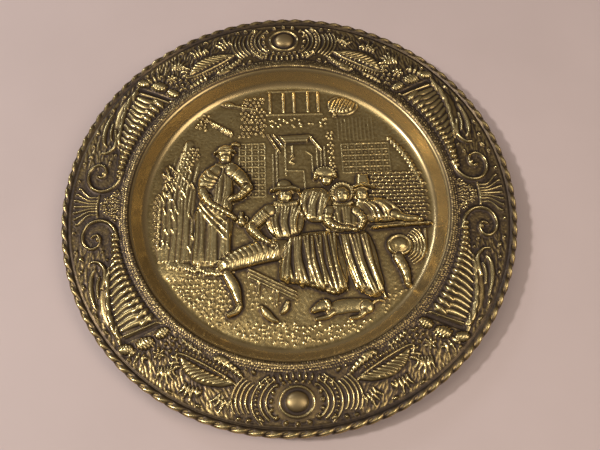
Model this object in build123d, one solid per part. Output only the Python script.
"""Round pressed brass plate with a deep well, a flat flange, a rolled edge over a wire and a hanging ring.

Millimetres, +Z up. The plate lies face up on the plane Z = 0, its middle on the Z axis. +Y is the
top of its picture, and the hanging ring is on the back, under that side of the flange.
"""
from build123d import *
from math import cos, pi, radians, sin
import os

# Sheet: one disc of brass, pressed and then curled at its edge.
PLATE_R = 180.0          # outside radius over the rolled edge
SHEET_T = 0.6            # thickness of the brass
FLOOR_R = 119.5          # corner between the well's floor and its wall, on the underside
WALL_TOP_R = 127.2       # corner between the wall and the flange, on the underside
FLANGE_Z = 15.5          # underside of the flange
FLOOR_CORNER_R = 9.0     # wide bend at the foot of the wall
SHOULDER_R = 4.5         # bend radius at the top of the wall

# Rolled edge: the flange steps up and curls round a wire.
ROLL_R = 2.6             # outside radius of the curl
EDGE_STEP = 1.2          # rise from the flange to the top of the curl
STEP_START_R = 171.6     # where the step begins
STEP_RUN = 2.2           # length of the step along the radius
STEP_BEND_R = 1.4        # bend radius at both ends of the step
CURL_DEGREES = 262.0     # how far the sheet wraps round the wire
WIRE_CLEARANCE = 0.1     # gap between the wire and the sheet, all round

# Hanger: a brass strap soldered under the flange, holding a D-shaped ring.
HANGER_Y = 152.0         # ring's hinge line, from the plate's middle
STRAP_WIDTH = 8.0        # along the hinge line
STRAP_T = 0.8
STRAP_REACH = 6.5        # from the hinge line to the end of a foot
STRAP_BEND_R = 1.2       # inside bend where a foot turns down
SADDLE_R = 1.1           # inside radius of the saddle that holds the ring
SADDLE_DEPTH = 2.4       # from the feet down to the inside of the saddle
SADDLE_BEND_R = 1.08     # inside bend of the saddle, just under its radius, so that its foot stays a line
SOLDER_T = 0.3           # solder between a foot and the flange
SOLDER_MARGIN = 1.0      # how far the solder spreads beyond a foot
RING_WIRE_R = 0.9
RING_HALF_WIDTH = 7.0    # hinge line to side, on the wire's centre line
RING_CORNER_R = 1.5
RING_SIDE = 2.5          # hinge line to the centre of the round bow

# Places that follow from the sizes above.
ROLL_INSIDE_R = ROLL_R - SHEET_T
ROLL_CENTRE_R = PLATE_R - ROLL_R
ROLL_CENTRE_Z = FLANGE_Z + EDGE_STEP - ROLL_INSIDE_R
WIRE_R = ROLL_INSIDE_R - WIRE_CLEARANCE
FOOT_TOP_Z = FLANGE_Z - SOLDER_T
HINGE_Z = FOOT_TOP_Z - SADDLE_DEPTH + SADDLE_R
QUARTER_TURN = pi / 2


def pressed_sheet():
    """The plate's one piece of brass: floor, wall, flange, step and curled edge, turned about Z."""
    corners = [
        (0, 0),
        (FLOOR_R, 0),
        (WALL_TOP_R, FLANGE_Z),
        (STEP_START_R, FLANGE_Z),
        (STEP_START_R + STEP_RUN, FLANGE_Z + EDGE_STEP),
        (ROLL_CENTRE_R, FLANGE_Z + EDGE_STEP),
    ]
    bends = [FLOOR_CORNER_R, SHOULDER_R, STEP_BEND_R, STEP_BEND_R]
    curl_end = radians(90 - CURL_DEGREES)
    curl_middle = radians(90 - CURL_DEGREES / 2)

    def on_curl(angle, radius):
        return (ROLL_CENTRE_R + radius * cos(angle), ROLL_CENTRE_Z + radius * sin(angle))

    with BuildSketch(Plane.XZ) as section:
        with BuildLine():
            underside = FilletPolyline(*corners, radius=bends)
            curl = ThreePointArc(
                underside @ 1,
                on_curl(curl_middle, ROLL_INSIDE_R),
                on_curl(curl_end, ROLL_INSIDE_R),
            )
            offset(amount=SHEET_T, side=Side.LEFT)
        make_face()
    return revolve(section.sketch, axis=Axis.Z)


def edge_wire():
    """The round wire that the edge is curled over."""
    section = Plane.XZ * Pos(ROLL_CENTRE_R, ROLL_CENTRE_Z) * Circle(WIRE_R)
    return revolve(section, axis=Axis.Z)


def hanger_strap():
    """A strip bent into a saddle, with a flat foot on each side."""
    saddle_z = FOOT_TOP_Z - SADDLE_DEPTH
    corners = [
        (-STRAP_REACH, FOOT_TOP_Z),
        (-SADDLE_R, FOOT_TOP_Z),
        (-SADDLE_R, saddle_z),
        (SADDLE_R, saddle_z),
        (SADDLE_R, FOOT_TOP_Z),
        (STRAP_REACH, FOOT_TOP_Z),
    ]
    bends = [STRAP_BEND_R, SADDLE_BEND_R, SADDLE_BEND_R, STRAP_BEND_R]
    with BuildSketch(Plane.YZ) as section:
        with BuildLine():
            FilletPolyline(*corners, radius=bends)
            offset(amount=STRAP_T, side=Side.RIGHT)
        make_face()
    strip = extrude(section.sketch, amount=STRAP_WIDTH / 2, both=True)
    return Pos(0, HANGER_Y, 0) * strip


def strap_solder():
    """A thin pad of solder between each foot and the flange."""
    inner = SADDLE_R + STRAP_BEND_R
    length = STRAP_REACH + SOLDER_MARGIN - inner
    width = STRAP_WIDTH + 2 * SOLDER_MARGIN
    pads = []
    for side in (-1, 1):
        middle_y = HANGER_Y + side * (inner + length / 2)
        pads.append(Pos(0, middle_y, FLANGE_Z - SOLDER_T / 2) * Box(width, length, SOLDER_T))
    return Compound(children=pads)


def hanging_ring():
    """A D of round wire: a straight bar in the saddle, and a round bow that hangs below it."""
    bar_end = RING_HALF_WIDTH - RING_CORNER_R
    corner_middle = RING_CORNER_R * (1 - cos(QUARTER_TURN / 2))
    with BuildLine(Plane.XZ.offset(-HANGER_Y)) as path:
        Line((-bar_end, HINGE_Z), (bar_end, HINGE_Z))
        for side in (-1, 1):
            ThreePointArc(
                (side * bar_end, HINGE_Z),
                (side * (RING_HALF_WIDTH - corner_middle), HINGE_Z - corner_middle),
                (side * RING_HALF_WIDTH, HINGE_Z - RING_CORNER_R),
            )
            Line(
                (side * RING_HALF_WIDTH, HINGE_Z - RING_CORNER_R),
                (side * RING_HALF_WIDTH, HINGE_Z - RING_SIDE),
            )
        ThreePointArc(
            (-RING_HALF_WIDTH, HINGE_Z - RING_SIDE),
            (0, HINGE_Z - RING_SIDE - RING_HALF_WIDTH),
            (RING_HALF_WIDTH, HINGE_Z - RING_SIDE),
        )
    section = Plane.YZ * Pos(HANGER_Y, HINGE_Z) * Circle(RING_WIRE_R)
    return sweep(section, path=path.wire())


PARTS = {
    "embossed_plate": pressed_sheet,
    "edge_wire": edge_wire,
    "hanger_strap": hanger_strap,
    "strap_solder": strap_solder,
    "hanging_ring": hanging_ring,
}

os.makedirs("parts", exist_ok=True)
for name, make in PARTS.items():
    export_step(make(), f"parts/{name}.step")
